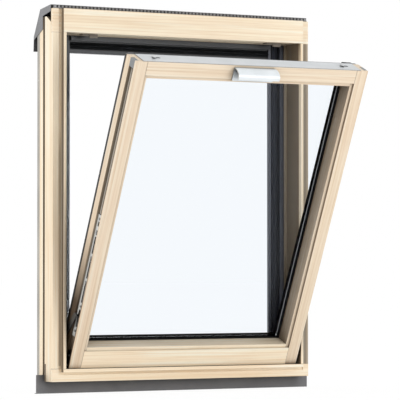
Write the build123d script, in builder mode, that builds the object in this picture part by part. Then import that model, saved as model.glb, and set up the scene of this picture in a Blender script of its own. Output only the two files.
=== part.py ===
"""Vertical timber window with a bottom-hinged sash, stored with the sash tilted into the room.

Millimetres. +Z is up, +Y points outdoors, and X runs along the sill. The origin is
the centre of the sill's underside. The sash and its hardware are drawn on planes that
lean into the room with it.
"""
import math
import os

from build123d import *

os.makedirs("parts", exist_ok=True)

# Timber frame, seen from the room
frame_width = 780.0
frame_height = 954.0
wood_depth = 71.0
bead_proud = 14.0
bead_thickness = 8.0
land_width = 17.3
lining_groove_width = 7.2
lining_groove_depth = 4.0
edge_round = 0.8
rebate_step = 7.5
rebate_thickness = 14.0
collar_groove_width = 10.0
collar_groove_depth = 9.0
collar_groove_setback = 18.0
front_lap = 10.0

# Head section
head_board = 60.6
head_rebate_step = 1.4
head_void_drop = 35.0
head_ridge_drop = 19.0
head_ridge_depth = 34.0
head_back_drop = 40.0

# Dark stop profile and its seal
stop_slot = 3.0
stop_flange = 10.0
stop_channel = 24.0
stop_lip = 8.0
stop_tail = 20.0
stop_tail_thickness = 12.0
stop_clearance = 1.0
stop_web = 2.0
stop_channel_depth = 12.0
stop_lip_drop = 4.0
stop_back = 2.0
seal_base_width = 18.0
seal_base_thickness = 3.0
seal_bulb_radius = 4.0
seal_gap = 0.3

# Outdoor sheet metal
sheet = 1.2
hood_rise = 10.5
hood_front_depth = 24.0
hood_break_depth = 81.0
hood_break_rise = 1.5
hood_eave_depth = 116.0
hood_eave_drop = 67.0
hood_skirt_drop = 105.0
hood_skirt_lean = 2.0
hood_lip_width = 17.0
sill_cover_reach = 14.0
sill_cover_fall = 9.0
sill_cover_foot = 5.0
flashing_thickness = 1.5
flashing_drop = 31.0
flashing_overhang = 24.0
flashing_upturn = 17.0
flashing_hem = 9.0

# Insect comb under the hood
comb_pitch = 10.6
comb_tooth = 6.2
comb_height = 8.0
comb_depth = 8.0
comb_spine = 2.6
comb_end_gap = 3.0

# Sash
tilt = 24.18
sash_side_gap = 11.5
sash_bottom_gap = 10.5
sash_top_gap = 12.7
sash_setback = 9.0
sash_wood = 50.0
stile_face = 34.0
top_rail_face = 36.0
bottom_rail_face = 47.0
inner_strip = 9.0
inner_strip_step = 4.5
glass_seat = 44.0
glass_overlap = 13.0
side_groove_depth = 10.0
side_groove_width = 23.0
side_groove_setback = 5.5
top_groove_width = 16.0
top_groove_depth = 11.0
top_groove_setback = 20.0

# Insulating glass
pane_thickness = 4.0
pane_space = 12.0
glass_play = 2.0
gasket_thickness = 2.0
gasket_sight = 5.0
gasket_cover = 10.0
spacer_width = 8.0
spacer_sight = 8.0
edge_seal_inset = 1.0

# Sash cover, the outdoor profile that holds the glass
cover_thickness = 12.0
cover_inset = 2.0
cover_shoulder = 8.6
cover_bevel = 2.5
cover_retainer = 3.0
cover_retainer_overlap = 10.0

# Hinges, stays and lock
hinge_depth = 21.0
hinge_drop = 5.2
hinge_pin_radius = 3.0
hinge_bush_wall = 1.9
hinge_play = 0.08
bracket_width = 22.0
bracket_height = 30.0
bracket_thickness = 3.0
hinge_plate_height = 40.0
hinge_plate_recess = 3.0
hinge_plate_thickness = 5.0
stay_arm_length = 80.0
stay_trim = 0.175
stay_arm_width = 14.0
stay_arm_thickness = 3.0
stay_arm_offset = 5.0
stay_pin_radius = 3.0
stay_play = 0.3
stay_rail_start = 88.0
stay_rail_end = 424.0
stay_rail_width = 20.0
stay_rail_thickness = 2.0
stay_rail_recess = 5.0
stay_stop_play = 0.5
vent_slot_pitch = 24.0
vent_slot_length = 14.0
vent_slot_width = 6.0
vent_slot_start = 232.0
cap_height = 22.0
cap_play = 0.2
cap_round = 2.0
strip_end_gap = 22.0
strip_thickness = 1.5
strip_wall = 1.2
strip_front = 1.5
lock_travel = 15.0
lock_bar_width = 10.0
lock_bar_thickness = 3.0
lock_bar_play = 0.5
lock_bar_drop = 9.0
bar_end_gap = 24.0
cam_inset = 19.0
cam_stem_radius = 3.0
cam_head_radius = 5.5
cam_head_height = 3.0
cam_reach = 7.0
cam_play = 0.4
keep_thickness = 3.0
keep_width = 19.0
keep_lip = 3.0
keep_lip_drop = 9.6
keep_margin = 9.0

# Handle
handle_length = 122.0
handle_top = 4.0
handle_height = 36.0
handle_reach = 32.0
handle_wall = 2.6
handle_arch = 90.0
handle_lip_end = 27.0
handle_shoulder = 20.0
handle_crown_gap = 1.6
handle_base_thickness = 3.0
handle_pin_radius = 3.0
handle_pin_reach = 9.0
handle_pin_drop = 12.0
handle_ear_width = 8.0
handle_ear_inset = 12.0
handle_ear_radius = 4.5
handle_boss_radius = 5.5
handle_play = 0.3

# Sizes that follow from the ones above
half_width = frame_width / 2
room_y = -wood_depth / 2 - bead_proud
bead_start = land_width + lining_groove_width
jamb_width = bead_start + bead_thickness
wood_back = bead_proud + wood_depth
rebate_depth = wood_back - rebate_thickness
rebate_edge = jamb_width + rebate_step
collar_back = wood_back - collar_groove_setback
collar_front = collar_back - collar_groove_width
inner_half = half_width - jamb_width
lap_back = bead_proud + front_lap
head_bottom = frame_height - head_board
head_rebate = head_bottom - head_rebate_step
head_void = frame_height - head_void_drop
head_ridge = frame_height - head_ridge_drop
head_back = frame_height - head_back_drop
ridge_front = bead_proud + head_ridge_depth

sash_half = half_width - jamb_width - sash_side_gap
sash_width = 2 * sash_half
sash_bottom = jamb_width + sash_bottom_gap
sash_top = head_bottom - sash_top_gap
sash_height = sash_top - sash_bottom
hinge_height = sash_bottom - hinge_drop
groove_front = side_groove_setback
groove_back = groove_front + side_groove_width
groove_middle = (groove_front + groove_back) / 2
stile_width = stile_face + inner_strip
top_rail_width = top_rail_face + inner_strip
bottom_rail_width = bottom_rail_face + inner_strip
glass_front = glass_seat + gasket_thickness
glass_back = glass_front + 2 * pane_thickness + pane_space
glass_rebate = stile_width - glass_overlap - glass_play

stop_front = sash_setback + sash_wood + cover_thickness + stop_clearance
stop_floor = stop_front + stop_channel_depth
stop_reach = stop_slot + stop_flange + stop_channel + stop_lip
stop_rear = wood_back + stop_back
seal_top = sash_setback + glass_back + cover_retainer + seal_gap
stop_inner = half_width - rebate_edge - stop_reach
strip_half = sash_half - strip_end_gap
bar_half = strip_half - bar_end_gap
cam_position = bar_half - cam_inset

lean = math.radians(tilt)
sash_up = Vector(0, -math.sin(lean), math.cos(lean))
sash_back = Vector(0, math.cos(lean), math.sin(lean))
hinge_y = room_y + sash_setback + hinge_depth
hinge_point = Vector(0, hinge_y, hinge_height)


def frame_level(height):
    """Horizontal plane; local x from the left outer edge, local y from the bead's face."""
    return Plane(origin=(-half_width, room_y, height))


def frame_section(x):
    """Upright plane across X; local x is depth behind the bead's face, local y is height."""
    return Plane(origin=(x, room_y, 0), x_dir=(0, 1, 0), z_dir=(1, 0, 0))


def frame_elevation(depth):
    """Upright plane that faces the room; local x is X and local y is height."""
    return Plane(origin=(0, room_y + depth, 0), x_dir=(1, 0, 0), z_dir=(0, -1, 0))


def jamb_face(depth, height):
    """Plane on the left jamb's inner face, at a depth behind the bead's face and a height."""
    return Plane(origin=(-inner_half, room_y + depth, height), x_dir=(0, 1, 0), z_dir=(1, 0, 0))


def sash_point(x, depth, height):
    """Point of the leaning sash, from its front face and its bottom edge."""
    rise = height + hinge_drop
    return hinge_point + Vector(x, 0, 0) + sash_back * (depth - hinge_depth) + sash_up * rise


def sash_level(height):
    """Plane across the stiles; local x from the sash's left edge, local y is depth."""
    return Plane(origin=sash_point(-sash_half, 0, height), x_dir=(1, 0, 0), z_dir=sash_up)


def sash_section(x):
    """Plane across the rails; local x is depth and local y is height along the sash."""
    return Plane(origin=sash_point(x, 0, 0), x_dir=sash_back, z_dir=(1, 0, 0))


def sash_elevation(depth):
    """Plane along the sash's face; local x is X and local y is height along the sash."""
    return Plane(origin=sash_point(0, depth, 0), x_dir=(1, 0, 0), z_dir=-sash_back)


def eased_outline(points, rounded):
    """Closed outline through the points, with the corners whose numbers are given rounded."""
    radii = [edge_round if number in rounded else 0 for number in range(len(points))]
    with BuildLine() as outline:
        FilletPolyline(*points, radius=radii, close=True)
    return outline.line


def stop_outline(place):
    """Section of the stop profile; place turns reach from the timber and depth into points."""
    channel = stop_slot + stop_flange
    lip = channel + stop_channel
    tail_back = wood_back + stop_tail_thickness
    points = [
        (-stop_tail, wood_back), (0, wood_back), (0, stop_front + stop_web),
        (stop_slot, stop_front + stop_web), (stop_slot, stop_front), (channel, stop_front),
        (channel, stop_floor), (lip, stop_floor), (lip, stop_floor - stop_lip_drop),
        (stop_reach, stop_floor - stop_lip_drop), (stop_reach, stop_rear),
        (stop_flange, stop_rear), (stop_flange, tail_back), (-stop_tail, tail_back),
    ]
    return [place(reach, depth) for reach, depth in points]


def seal_outline(place):
    """Section of the stop's seal: a flat base in the channel and a round bulb on it."""
    start = stop_slot + stop_flange + (stop_channel - seal_base_width) / 2
    middle = start + seal_base_width / 2
    base_front = stop_floor - seal_base_thickness
    left, right = middle - seal_bulb_radius, middle + seal_bulb_radius
    with BuildLine() as outline:
        Polyline(
            place(right, base_front), place(start + seal_base_width, base_front),
            place(start + seal_base_width, stop_floor), place(start, stop_floor),
            place(start, base_front), place(left, base_front),
        )
        ThreePointArc(place(left, base_front), place(middle, seal_top), place(right, base_front))
    return outline.line


def cover_outline(place, start, pocket):
    """Section of the outdoor cover; place turns inset from the sash's edge and depth into points."""
    cover_back = sash_wood + cover_thickness
    retainer_back = glass_back + cover_retainer
    reach = pocket + glass_play + cover_retainer_overlap
    return [
        place(start, sash_wood), place(pocket, sash_wood), place(pocket, glass_back),
        place(reach, glass_back), place(reach, retainer_back),
        place(start + cover_shoulder + cover_bevel, retainer_back),
        place(start + cover_shoulder, cover_back), place(start, cover_back),
    ]


def on_jamb(reach, depth):
    return (rebate_edge + reach, depth)


def on_head(reach, depth):
    return (depth, head_rebate - reach)


def on_sill(reach, depth):
    return (depth, rebate_edge + reach)


# Groove for the room's lining boards beside the bead, and groove for the wall's collar
with BuildSketch(frame_elevation(bead_proud)) as lining_ring:
    with Locations((0, frame_height)):
        Rectangle(frame_width - 2 * land_width, 2 * (frame_height - land_width))
        Rectangle(
            frame_width - 2 * bead_start, 2 * (frame_height - bead_start), mode=Mode.SUBTRACT
        )
with BuildSketch(frame_elevation(collar_front)) as collar_ring:
    with Locations((0, frame_height / 2)):
        Rectangle(2 * frame_width, 2 * frame_height)
        Rectangle(
            frame_width - 2 * collar_groove_depth, frame_height - 2 * collar_groove_depth,
            mode=Mode.SUBTRACT,
        )

# Left jamb: land, lining groove, bead and rebate, with the corners that lap the head and sill
with BuildPart() as left_jamb:
    with BuildSketch(frame_level(0)):
        jamb_points = [
            (0, bead_proud), (bead_start, bead_proud), (bead_start, 0), (jamb_width, 0),
            (jamb_width, wood_back), (0, wood_back),
        ]
        make_face(eased_outline(jamb_points, (0, 2, 3)))
    extrude(amount=frame_height)
    extrude(lining_ring.sketch, amount=-lining_groove_depth, mode=Mode.SUBTRACT)
    extrude(collar_ring.sketch, amount=-collar_groove_width, mode=Mode.SUBTRACT)
    with BuildSketch(frame_section(-half_width)):
        Polygon(
            (0, head_bottom), (lap_back, head_bottom), (lap_back, head_void),
            (ridge_front, head_ridge), (collar_back, head_ridge), (wood_back, head_back),
            (wood_back, 2 * frame_height), (0, 2 * frame_height),
            align=None,
        )
        with Locations((lap_back / 2, jamb_width / 2)):
            Rectangle(lap_back, jamb_width)
    extrude(amount=rebate_edge, mode=Mode.SUBTRACT)
    with BuildSketch(frame_level(rebate_edge)):
        with Locations((jamb_width, rebate_depth)):
            Rectangle(rebate_step, rebate_thickness, align=Align.MIN)
    extrude(amount=head_rebate - rebate_edge)
left_jamb.part.label = "left_jamb"
export_step(left_jamb.part, "parts/left_jamb.step")

with BuildPart() as right_jamb:
    mirror(left_jamb.part, about=Plane.YZ)
right_jamb.part.label = "right_jamb"
export_step(right_jamb.part, "parts/right_jamb.step")

# Head rail: the tall front board and the void under the hood
with BuildPart() as head_rail:
    with BuildSketch(frame_section(-inner_half)):
        Polygon(
            (0, head_bottom), (0, frame_height), (lap_back, frame_height), (lap_back, head_void),
            (ridge_front, head_ridge), (collar_back, head_ridge), (wood_back, head_back),
            (wood_back, head_rebate), (rebate_depth, head_rebate), (rebate_depth, head_bottom),
            align=None,
        )
    extrude(amount=2 * inner_half)
    with BuildSketch(frame_elevation(bead_proud)):
        with Locations((0, frame_height - head_board / 2)):
            Rectangle(frame_width, head_board)
    extrude(amount=-front_lap)
    with BuildSketch(frame_elevation(0)):
        with Locations((0, frame_height - head_board / 2)):
            RectangleRounded(frame_width - 2 * bead_start, head_board, edge_round)
    extrude(amount=-bead_proud)
    extrude(lining_ring.sketch, amount=-lining_groove_depth, mode=Mode.SUBTRACT)
    extrude(collar_ring.sketch, amount=-collar_groove_width, mode=Mode.SUBTRACT)
head_rail.part.label = "head_rail"
export_step(head_rail.part, "parts/head_rail.step")

# Sill rail: bead, flat top and rebate, with a front lap across the jambs' feet
with BuildPart() as sill_rail:
    with BuildSketch(frame_section(-inner_half)):
        Polygon(
            (bead_proud, 0), (bead_proud, bead_start), (0, bead_start), (0, jamb_width),
            (rebate_depth, jamb_width), (rebate_depth, rebate_edge), (wood_back, rebate_edge),
            (wood_back, 0),
            align=None,
        )
    extrude(amount=2 * inner_half)
    for side in (-1, 1):
        middle = side * (inner_half + jamb_width / 2)
        with BuildSketch(frame_elevation(bead_proud)):
            with Locations((middle, jamb_width / 2)):
                Rectangle(jamb_width, jamb_width)
        extrude(amount=-front_lap)
        bead_middle = side * (inner_half + bead_thickness / 2)
        with BuildSketch(frame_elevation(0)):
            with Locations((bead_middle, bead_start + bead_thickness / 2)):
                Rectangle(bead_thickness, bead_thickness)
        extrude(amount=-bead_proud)
    extrude(lining_ring.sketch, amount=-lining_groove_depth, mode=Mode.SUBTRACT)
    extrude(collar_ring.sketch, amount=-collar_groove_width, mode=Mode.SUBTRACT)
sill_rail.part.label = "sill_rail"
export_step(sill_rail.part, "parts/sill_rail.step")

# Stop profiles, upright pieces between the head and the sill
with BuildPart() as left_stop:
    with BuildSketch(frame_level(rebate_edge)):
        Polygon(*stop_outline(on_jamb), align=None)
    extrude(amount=head_rebate - rebate_edge)
left_stop.part.label = "left_stop"
export_step(left_stop.part, "parts/left_stop.step")

with BuildPart() as right_stop:
    mirror(left_stop.part, about=Plane.YZ)
right_stop.part.label = "right_stop"
export_step(right_stop.part, "parts/right_stop.step")

with BuildPart() as head_stop:
    with BuildSketch(frame_section(-stop_inner)):
        Polygon(*stop_outline(on_head), align=None)
    extrude(amount=2 * stop_inner)
head_stop.part.label = "head_stop"
export_step(head_stop.part, "parts/head_stop.step")

with BuildPart() as sill_stop:
    with BuildSketch(frame_section(-stop_inner)):
        Polygon(*stop_outline(on_sill), align=None)
    extrude(amount=2 * stop_inner)
sill_stop.part.label = "sill_stop"
export_step(sill_stop.part, "parts/sill_stop.step")

# Rubber seals in the stop channels
with BuildPart() as left_seal:
    with BuildSketch(frame_level(rebate_edge)):
        make_face(seal_outline(on_jamb))
    extrude(amount=head_rebate - rebate_edge)
left_seal.part.label = "left_seal"
export_step(left_seal.part, "parts/left_seal.step")

with BuildPart() as right_seal:
    mirror(left_seal.part, about=Plane.YZ)
right_seal.part.label = "right_seal"
export_step(right_seal.part, "parts/right_seal.step")

with BuildPart() as head_seal:
    with BuildSketch(frame_section(-stop_inner)):
        make_face(seal_outline(on_head))
    extrude(amount=2 * stop_inner)
head_seal.part.label = "head_seal"
export_step(head_seal.part, "parts/head_seal.step")

with BuildPart() as sill_seal:
    with BuildSketch(frame_section(-stop_inner)):
        make_face(seal_outline(on_sill))
    extrude(amount=2 * stop_inner)
sill_seal.part.label = "sill_seal"
export_step(sill_seal.part, "parts/sill_seal.step")

# Folded sheet covers on the outdoor side of the jambs
cover_face = wood_back + stop_tail_thickness
with BuildPart() as left_cladding:
    with BuildSketch(frame_level(0)):
        Polygon(
            (0, wood_back), (0, cover_face + sheet), (rebate_edge + stop_flange, cover_face + sheet),
            (rebate_edge + stop_flange, cover_face), (sheet, cover_face), (sheet, wood_back),
            align=None,
        )
    extrude(amount=head_back)
left_cladding.part.label = "left_cladding"
export_step(left_cladding.part, "parts/left_cladding.step")

with BuildPart() as right_cladding:
    mirror(left_cladding.part, about=Plane.YZ)
right_cladding.part.label = "right_cladding"
export_step(right_cladding.part, "parts/right_cladding.step")

# Sill cover between the side covers: a plate with a sloped ledge that sheds the water
with BuildPart() as sill_cladding:
    cladding_inner = half_width - rebate_edge - stop_flange
    plate_back = cover_face + sheet
    ledge_edge = cover_face + sill_cover_reach
    ledge_low = rebate_edge - sill_cover_fall
    with BuildSketch(frame_section(-cladding_inner)):
        Polygon(
            (cover_face, rebate_edge), (plate_back, rebate_edge),
            (ledge_edge, ledge_low), (ledge_edge, sill_cover_foot),
            (ledge_edge - sheet, sill_cover_foot), (ledge_edge - sheet, ledge_low - sheet),
            (plate_back, rebate_edge - 2 * sheet), (plate_back, 0), (cover_face, 0),
            align=None,
        )
    extrude(amount=2 * cladding_inner)
sill_cladding.part.label = "sill_cladding"
export_step(sill_cladding.part, "parts/sill_cladding.step")

# Hood: one folded sheet over the head, with a lip folded down at each end
hood_front = (hood_front_depth, frame_height + hood_rise)
hood_break = (hood_break_depth, frame_height + hood_break_rise)
hood_eave = (hood_eave_depth, frame_height - hood_eave_drop)
hood_skirt = (hood_eave_depth + hood_skirt_lean, frame_height - hood_skirt_drop)
with BuildPart() as head_hood:
    with BuildSketch(frame_section(-half_width - sheet)):
        with BuildLine():
            fold = Polyline(hood_front, hood_break, hood_eave, hood_skirt)
            offset(fold, amount=sheet, side=Side.RIGHT, closed=True)
        make_face()
    extrude(amount=frame_width + 2 * sheet)
    with BuildSketch(frame_section(-half_width - sheet)):
        Polygon(
            hood_front, hood_break, hood_eave,
            (hood_eave_depth, hood_eave[1] - hood_lip_width / 2),
            (collar_back, hood_eave[1] + hood_lip_width),
            (collar_back, hood_break[1] - hood_lip_width - sheet),
            (hood_front_depth, hood_front[1] - hood_lip_width),
            align=None,
        )
    extrude(amount=sheet)
    mirror(about=Plane.YZ)
head_hood.part.label = "head_hood"
export_step(head_hood.part, "parts/head_hood.step")

# Insect comb: a spine on the front board's top with teeth up to the hood's edge
with BuildPart() as insect_comb:
    comb_length = frame_width - 2 * comb_end_gap
    tooth_count = int(comb_length // comb_pitch)
    with BuildSketch(frame_elevation(hood_front_depth - comb_depth)):
        with Locations((0, frame_height + comb_spine / 2)):
            Rectangle(comb_length, comb_spine)
        with Locations((0, frame_height + comb_height / 2)):
            with GridLocations(comb_pitch, comb_height, tooth_count, 1):
                Rectangle(comb_tooth, comb_height)
    extrude(amount=-comb_depth)
insect_comb.part.label = "insect_comb"
export_step(insect_comb.part, "parts/insect_comb.step")

# Sill flashing: a sheet that stands in the collar groove, with a hem folded outdoors
with BuildPart() as sill_flashing:
    with BuildSketch(frame_elevation(collar_front)):
        Polygon(
            (-half_width - flashing_overhang, -flashing_drop),
            (-half_width - flashing_overhang, flashing_upturn),
            (-half_width, flashing_upturn), (-half_width, collar_groove_depth),
            (half_width, collar_groove_depth), (half_width, flashing_upturn),
            (half_width + flashing_overhang, flashing_upturn),
            (half_width + flashing_overhang, -flashing_drop),
            align=None,
        )
    extrude(amount=-flashing_thickness)
    with BuildSketch(frame_section(-half_width - flashing_overhang)):
        with Locations((collar_front + flashing_hem / 2, -flashing_drop)):
            Rectangle(flashing_hem, flashing_thickness, align=(Align.CENTER, Align.MIN))
    extrude(amount=frame_width + 2 * flashing_overhang)
sill_flashing.part.label = "sill_flashing"
export_step(sill_flashing.part, "parts/sill_flashing.step")

# Hinge brackets: plates on the jambs' inner faces, each with the pin that carries the sash
hinge_line = sash_setback + hinge_depth
stay_line = sash_setback + groove_middle
stay_offset = hinge_depth - groove_middle
stay_anchor_rise = stay_arm_length - stay_trim * stay_offset
stay_anchor = hinge_height + stay_anchor_rise
with BuildPart() as left_hinge_bracket:
    with BuildSketch(jamb_face(hinge_line, jamb_width)):
        Rectangle(bracket_width, bracket_height, align=(Align.CENTER, Align.MIN))
    extrude(amount=bracket_thickness)
    with BuildSketch(jamb_face(hinge_line, hinge_height)):
        Circle(hinge_pin_radius)
    extrude(amount=sash_side_gap + hinge_plate_recess + hinge_plate_thickness)
left_hinge_bracket.part.label = "left_hinge_bracket"
export_step(left_hinge_bracket.part, "parts/left_hinge_bracket.step")

with BuildPart() as right_hinge_bracket:
    mirror(left_hinge_bracket.part, about=Plane.YZ)
right_hinge_bracket.part.label = "right_hinge_bracket"
export_step(right_hinge_bracket.part, "parts/right_hinge_bracket.step")

with BuildPart() as left_stay_bracket:
    with BuildSketch(jamb_face(stay_line, stay_anchor)):
        RectangleRounded(bracket_width, bracket_height, hinge_pin_radius)
    extrude(amount=bracket_thickness)
    with BuildSketch(jamb_face(stay_line, stay_anchor)):
        Circle(stay_pin_radius)
    extrude(amount=stay_arm_offset + stay_arm_thickness)
left_stay_bracket.part.label = "left_stay_bracket"
export_step(left_stay_bracket.part, "parts/left_stay_bracket.step")

with BuildPart() as right_stay_bracket:
    mirror(left_stay_bracket.part, about=Plane.YZ)
right_stay_bracket.part.label = "right_stay_bracket"
export_step(right_stay_bracket.part, "parts/right_stay_bracket.step")

# Stay arms: each turns on its bracket and pushes a pin along the sash's stay rail
arm_swing = 2 * lean
arm_up = Vector(0, -math.sin(arm_swing), math.cos(arm_swing))
arm_back = Vector(0, math.cos(arm_swing), math.sin(arm_swing))
arm_foot = Vector(-inner_half + stay_arm_offset, room_y + stay_line, stay_anchor)
with BuildPart() as left_stay_arm:
    with BuildSketch(Plane(origin=arm_foot, x_dir=arm_back, z_dir=(1, 0, 0))):
        with Locations((0, stay_arm_length / 2)):
            SlotCenterToCenter(stay_arm_length, stay_arm_width, rotation=90)
        Circle(stay_pin_radius + hinge_play, mode=Mode.SUBTRACT)
    extrude(amount=stay_arm_thickness)
    with BuildSketch(Plane(origin=arm_foot, x_dir=arm_back, z_dir=(1, 0, 0))):
        with Locations((0, stay_arm_length)):
            Circle(stay_pin_radius)
    extrude(amount=sash_side_gap - stay_arm_offset + stay_rail_recess + stay_rail_thickness)
left_stay_arm.part.label = "left_stay_arm"
export_step(left_stay_arm.part, "parts/left_stay_arm.step")

with BuildPart() as right_stay_arm:
    mirror(left_stay_arm.part, about=Plane.YZ)
right_stay_arm.part.label = "right_stay_arm"
export_step(right_stay_arm.part, "parts/right_stay_arm.step")

# Sash stiles: full height, stepped towards the glass and grooved on the outer side
with BuildPart() as sash_left_stile:
    with BuildSketch(sash_level(0)):
        stile_points = [
            (0, 0), (stile_face, 0), (stile_face, inner_strip_step),
            (stile_width, inner_strip_step), (stile_width, glass_seat),
            (glass_rebate, glass_seat), (glass_rebate, sash_wood), (0, sash_wood),
            (0, groove_back), (side_groove_depth, groove_back), (side_groove_depth, groove_front),
            (0, groove_front),
        ]
        make_face(eased_outline(stile_points, (0, 1, 3)))
    extrude(amount=sash_height)
    with BuildSketch(sash_level(sash_height)):
        with Locations((strip_end_gap, top_groove_setback)):
            Rectangle(stile_width - strip_end_gap, top_groove_width, align=Align.MIN)
    extrude(amount=-top_groove_depth, mode=Mode.SUBTRACT)
sash_left_stile.part.label = "sash_left_stile"
export_step(sash_left_stile.part, "parts/sash_left_stile.step")

with BuildPart() as sash_right_stile:
    mirror(sash_left_stile.part, about=Plane.YZ)
sash_right_stile.part.label = "sash_right_stile"
export_step(sash_right_stile.part, "parts/sash_right_stile.step")

# Sash top rail: lies between the stiles, with its face over their stepped edge
rail_half = sash_half - stile_width
rail_face_half = sash_half - stile_face
top_groove_back = top_groove_setback + top_groove_width
with BuildPart() as sash_top_rail:
    with BuildSketch(sash_section(-rail_half)):
        glass_line = sash_height - top_rail_width
        seat_line = glass_line + glass_overlap + glass_play
        top_points = [
            (0, sash_height), (0, sash_height - top_rail_face),
            (inner_strip_step, sash_height - top_rail_face), (inner_strip_step, glass_line),
            (glass_seat, glass_line), (glass_seat, seat_line), (sash_wood, seat_line),
            (sash_wood, sash_height), (top_groove_back, sash_height),
            (top_groove_back, sash_height - top_groove_depth),
            (top_groove_setback, sash_height - top_groove_depth), (top_groove_setback, sash_height),
        ]
        make_face(eased_outline(top_points, (0, 1, 3)))
    extrude(amount=2 * rail_half)
    with BuildSketch(sash_elevation(0)):
        with Locations((0, sash_height - top_rail_face / 2)):
            RectangleRounded(2 * rail_face_half, top_rail_face, edge_round)
    extrude(amount=-inner_strip_step)
sash_top_rail.part.label = "sash_top_rail"
export_step(sash_top_rail.part, "parts/sash_top_rail.step")

# Sash bottom rail: the tall rail whose front edge rests over the frame's bead
with BuildPart() as sash_bottom_rail:
    with BuildSketch(sash_section(-rail_half)):
        seat_line = bottom_rail_width - glass_overlap - glass_play
        bottom_points = [
            (0, 0), (sash_wood, 0), (sash_wood, seat_line), (glass_seat, seat_line),
            (glass_seat, bottom_rail_width), (inner_strip_step, bottom_rail_width),
            (inner_strip_step, bottom_rail_face), (0, bottom_rail_face),
        ]
        make_face(eased_outline(bottom_points, (0, 5, 7)))
    extrude(amount=2 * rail_half)
    with BuildSketch(sash_elevation(0)):
        with Locations((0, bottom_rail_face / 2)):
            RectangleRounded(2 * rail_face_half, bottom_rail_face, edge_round)
    extrude(amount=-inner_strip_step)
sash_bottom_rail.part.label = "sash_bottom_rail"
export_step(sash_bottom_rail.part, "parts/sash_bottom_rail.step")

# Insulating glass: two panes held apart by an aluminium spacer and a black edge seal
glass_half = sash_half - stile_width + glass_overlap
glass_low = bottom_rail_width - glass_overlap
glass_high = sash_height - top_rail_width + glass_overlap
glass_height = glass_high - glass_low
glass_middle = (glass_high + glass_low) / 2
with BuildPart() as inner_pane:
    with BuildSketch(sash_elevation(glass_front)):
        with Locations((0, glass_middle)):
            Rectangle(2 * glass_half, glass_height)
    extrude(amount=-pane_thickness)
inner_pane.part.label = "inner_pane"
export_step(inner_pane.part, "parts/inner_pane.step")

with BuildPart() as outer_pane:
    with BuildSketch(sash_elevation(glass_back - pane_thickness)):
        with Locations((0, glass_middle)):
            Rectangle(2 * glass_half, glass_height)
    extrude(amount=-pane_thickness)
outer_pane.part.label = "outer_pane"
export_step(outer_pane.part, "parts/outer_pane.step")

spacer_inset = glass_overlap + spacer_sight - spacer_width
with BuildPart() as glass_spacer:
    with BuildSketch(sash_elevation(glass_front + pane_thickness)):
        with Locations((0, glass_middle)):
            Rectangle(2 * (glass_half - spacer_inset), glass_height - 2 * spacer_inset)
            Rectangle(
                2 * (glass_half - spacer_inset - spacer_width),
                glass_height - 2 * (spacer_inset + spacer_width), mode=Mode.SUBTRACT,
            )
    extrude(amount=-pane_space)
glass_spacer.part.label = "glass_spacer"
export_step(glass_spacer.part, "parts/glass_spacer.step")

with BuildPart() as glass_edge_seal:
    with BuildSketch(sash_elevation(glass_front + pane_thickness)):
        with Locations((0, glass_middle)):
            Rectangle(2 * (glass_half - edge_seal_inset), glass_height - 2 * edge_seal_inset)
            Rectangle(
                2 * (glass_half - spacer_inset), glass_height - 2 * spacer_inset,
                mode=Mode.SUBTRACT,
            )
    extrude(amount=-pane_space)
glass_edge_seal.part.label = "glass_edge_seal"
export_step(glass_edge_seal.part, "parts/glass_edge_seal.step")

# Glazing gaskets between the timber and the inner pane
gasket_width = gasket_sight + gasket_cover
gasket_half = rail_half + gasket_cover
gasket_low = bottom_rail_width - gasket_cover
gasket_high = sash_height - top_rail_width + gasket_cover
with BuildPart() as left_gasket:
    with BuildSketch(sash_elevation(glass_seat)):
        with Locations((-gasket_half, gasket_low)):
            Rectangle(gasket_width, gasket_high - gasket_low, align=(Align.MIN, Align.MIN))
    extrude(amount=-gasket_thickness)
left_gasket.part.label = "left_gasket"
export_step(left_gasket.part, "parts/left_gasket.step")

with BuildPart() as right_gasket:
    mirror(left_gasket.part, about=Plane.YZ)
right_gasket.part.label = "right_gasket"
export_step(right_gasket.part, "parts/right_gasket.step")

with BuildPart() as top_gasket:
    with BuildSketch(sash_elevation(glass_seat)):
        with Locations((0, gasket_high)):
            Rectangle(
                2 * (gasket_half - gasket_width), gasket_width, align=(Align.CENTER, Align.MAX)
            )
    extrude(amount=-gasket_thickness)
top_gasket.part.label = "top_gasket"
export_step(top_gasket.part, "parts/top_gasket.step")

with BuildPart() as bottom_gasket:
    with BuildSketch(sash_elevation(glass_seat)):
        with Locations((0, gasket_low)):
            Rectangle(
                2 * (gasket_half - gasket_width), gasket_width, align=(Align.CENTER, Align.MIN)
            )
    extrude(amount=-gasket_thickness)
bottom_gasket.part.label = "bottom_gasket"
export_step(bottom_gasket.part, "parts/bottom_gasket.step")

# Sash covers, the dark outdoor profiles that hold the glass
with BuildPart() as sash_left_cover:
    with BuildSketch(sash_level(cover_inset)):
        Polygon(
            *cover_outline(lambda inset, depth: (inset, depth), cover_inset, glass_rebate),
            align=None,
        )
    extrude(amount=sash_height - 2 * cover_inset)
sash_left_cover.part.label = "sash_left_cover"
export_step(sash_left_cover.part, "parts/sash_left_cover.step")

with BuildPart() as sash_right_cover:
    mirror(sash_left_cover.part, about=Plane.YZ)
sash_right_cover.part.label = "sash_right_cover"
export_step(sash_right_cover.part, "parts/sash_right_cover.step")

cover_reach = glass_rebate + glass_play + cover_retainer_overlap
cover_half = sash_half - cover_reach
with BuildPart() as sash_top_cover:
    pocket = top_rail_width - glass_overlap - glass_play
    with BuildSketch(sash_section(-cover_half)):
        Polygon(
            *cover_outline(
                lambda inset, depth: (depth, sash_height - inset), cover_inset, pocket
            ),
            align=None,
        )
    extrude(amount=2 * cover_half)
sash_top_cover.part.label = "sash_top_cover"
export_step(sash_top_cover.part, "parts/sash_top_cover.step")

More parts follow.
